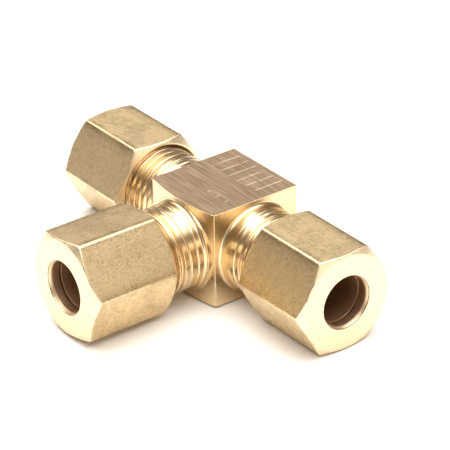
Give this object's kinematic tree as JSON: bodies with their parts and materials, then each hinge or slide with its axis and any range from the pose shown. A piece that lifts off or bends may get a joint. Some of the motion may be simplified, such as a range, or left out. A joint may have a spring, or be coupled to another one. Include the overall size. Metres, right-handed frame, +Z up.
{
  "type": "compression union tee",
  "caption": "Brass compression tee that joins tubes at right angles, with hexagon nuts and tapered sleeves on threaded stubs.",
  "frame": {"origin": "centre of the square block's underside; the axes of the ports cross 6.35 mm above it", "axes": "+X along the run towards the right port, -Y along the branch, +Z up"},
  "size_m": [0.0491, 0.0314, 0.0135],
  "materials": {
    "body_brass": "machined, fine turned and brushed marks",
    "nut_brass": "satin drawn flats, turned end faces",
    "sleeve_brass": "smooth turned"
  },
  "bodies": {
    "body": {"tee_body": "body_brass"},
    "right_sleeve": {"run_right_sleeve": "sleeve_brass"},
    "right_nut": {"run_right_nut": "nut_brass"},
    "left_sleeve": {"run_left_sleeve": "sleeve_brass"},
    "left_nut": {"run_left_nut": "nut_brass"},
    "branch_sleeve": {"branch_sleeve": "sleeve_brass"},
    "branch_nut": {"branch_nut": "nut_brass"}
  },
  "joints": [
    {"name": "right_travel", "type": "slide", "parent": "body", "child": "right_sleeve", "axis": [1, 0, 0], "range_m": [-0.00127, 0.00636]},
    {"name": "right_turn", "type": "hinge", "parent": "right_sleeve", "child": "right_nut", "pos_m": [0, 0, 0.00635], "axis": [1, 0, 0], "range_deg": [-430, 2160]},
    {"name": "left_travel", "type": "slide", "parent": "body", "child": "left_sleeve", "axis": [-1, 0, 0], "range_m": [-0.00299, 0.00477]},
    {"name": "left_turn", "type": "hinge", "parent": "left_sleeve", "child": "left_nut", "pos_m": [0, 0, 0.00635], "axis": [-1, 0, 0], "range_deg": [-1015, 1620]},
    {"name": "branch_travel", "type": "slide", "parent": "body", "child": "branch_sleeve", "axis": [0, -1, 0], "range_m": [-0.0017, 0.00583]},
    {"name": "branch_turn", "type": "hinge", "parent": "branch_sleeve", "child": "branch_nut", "pos_m": [0, 0, 0.00635], "axis": [0, -1, 0], "range_deg": [-576, 1980]}
  ],
  "couplings": [
    {"joint": "right_travel", "follows": "right_turn", "m_per_rad": 0.00016844},
    {"joint": "left_travel", "follows": "left_turn", "m_per_rad": 0.00016844},
    {"joint": "branch_travel", "follows": "branch_turn", "m_per_rad": 0.00016844}
  ]
}
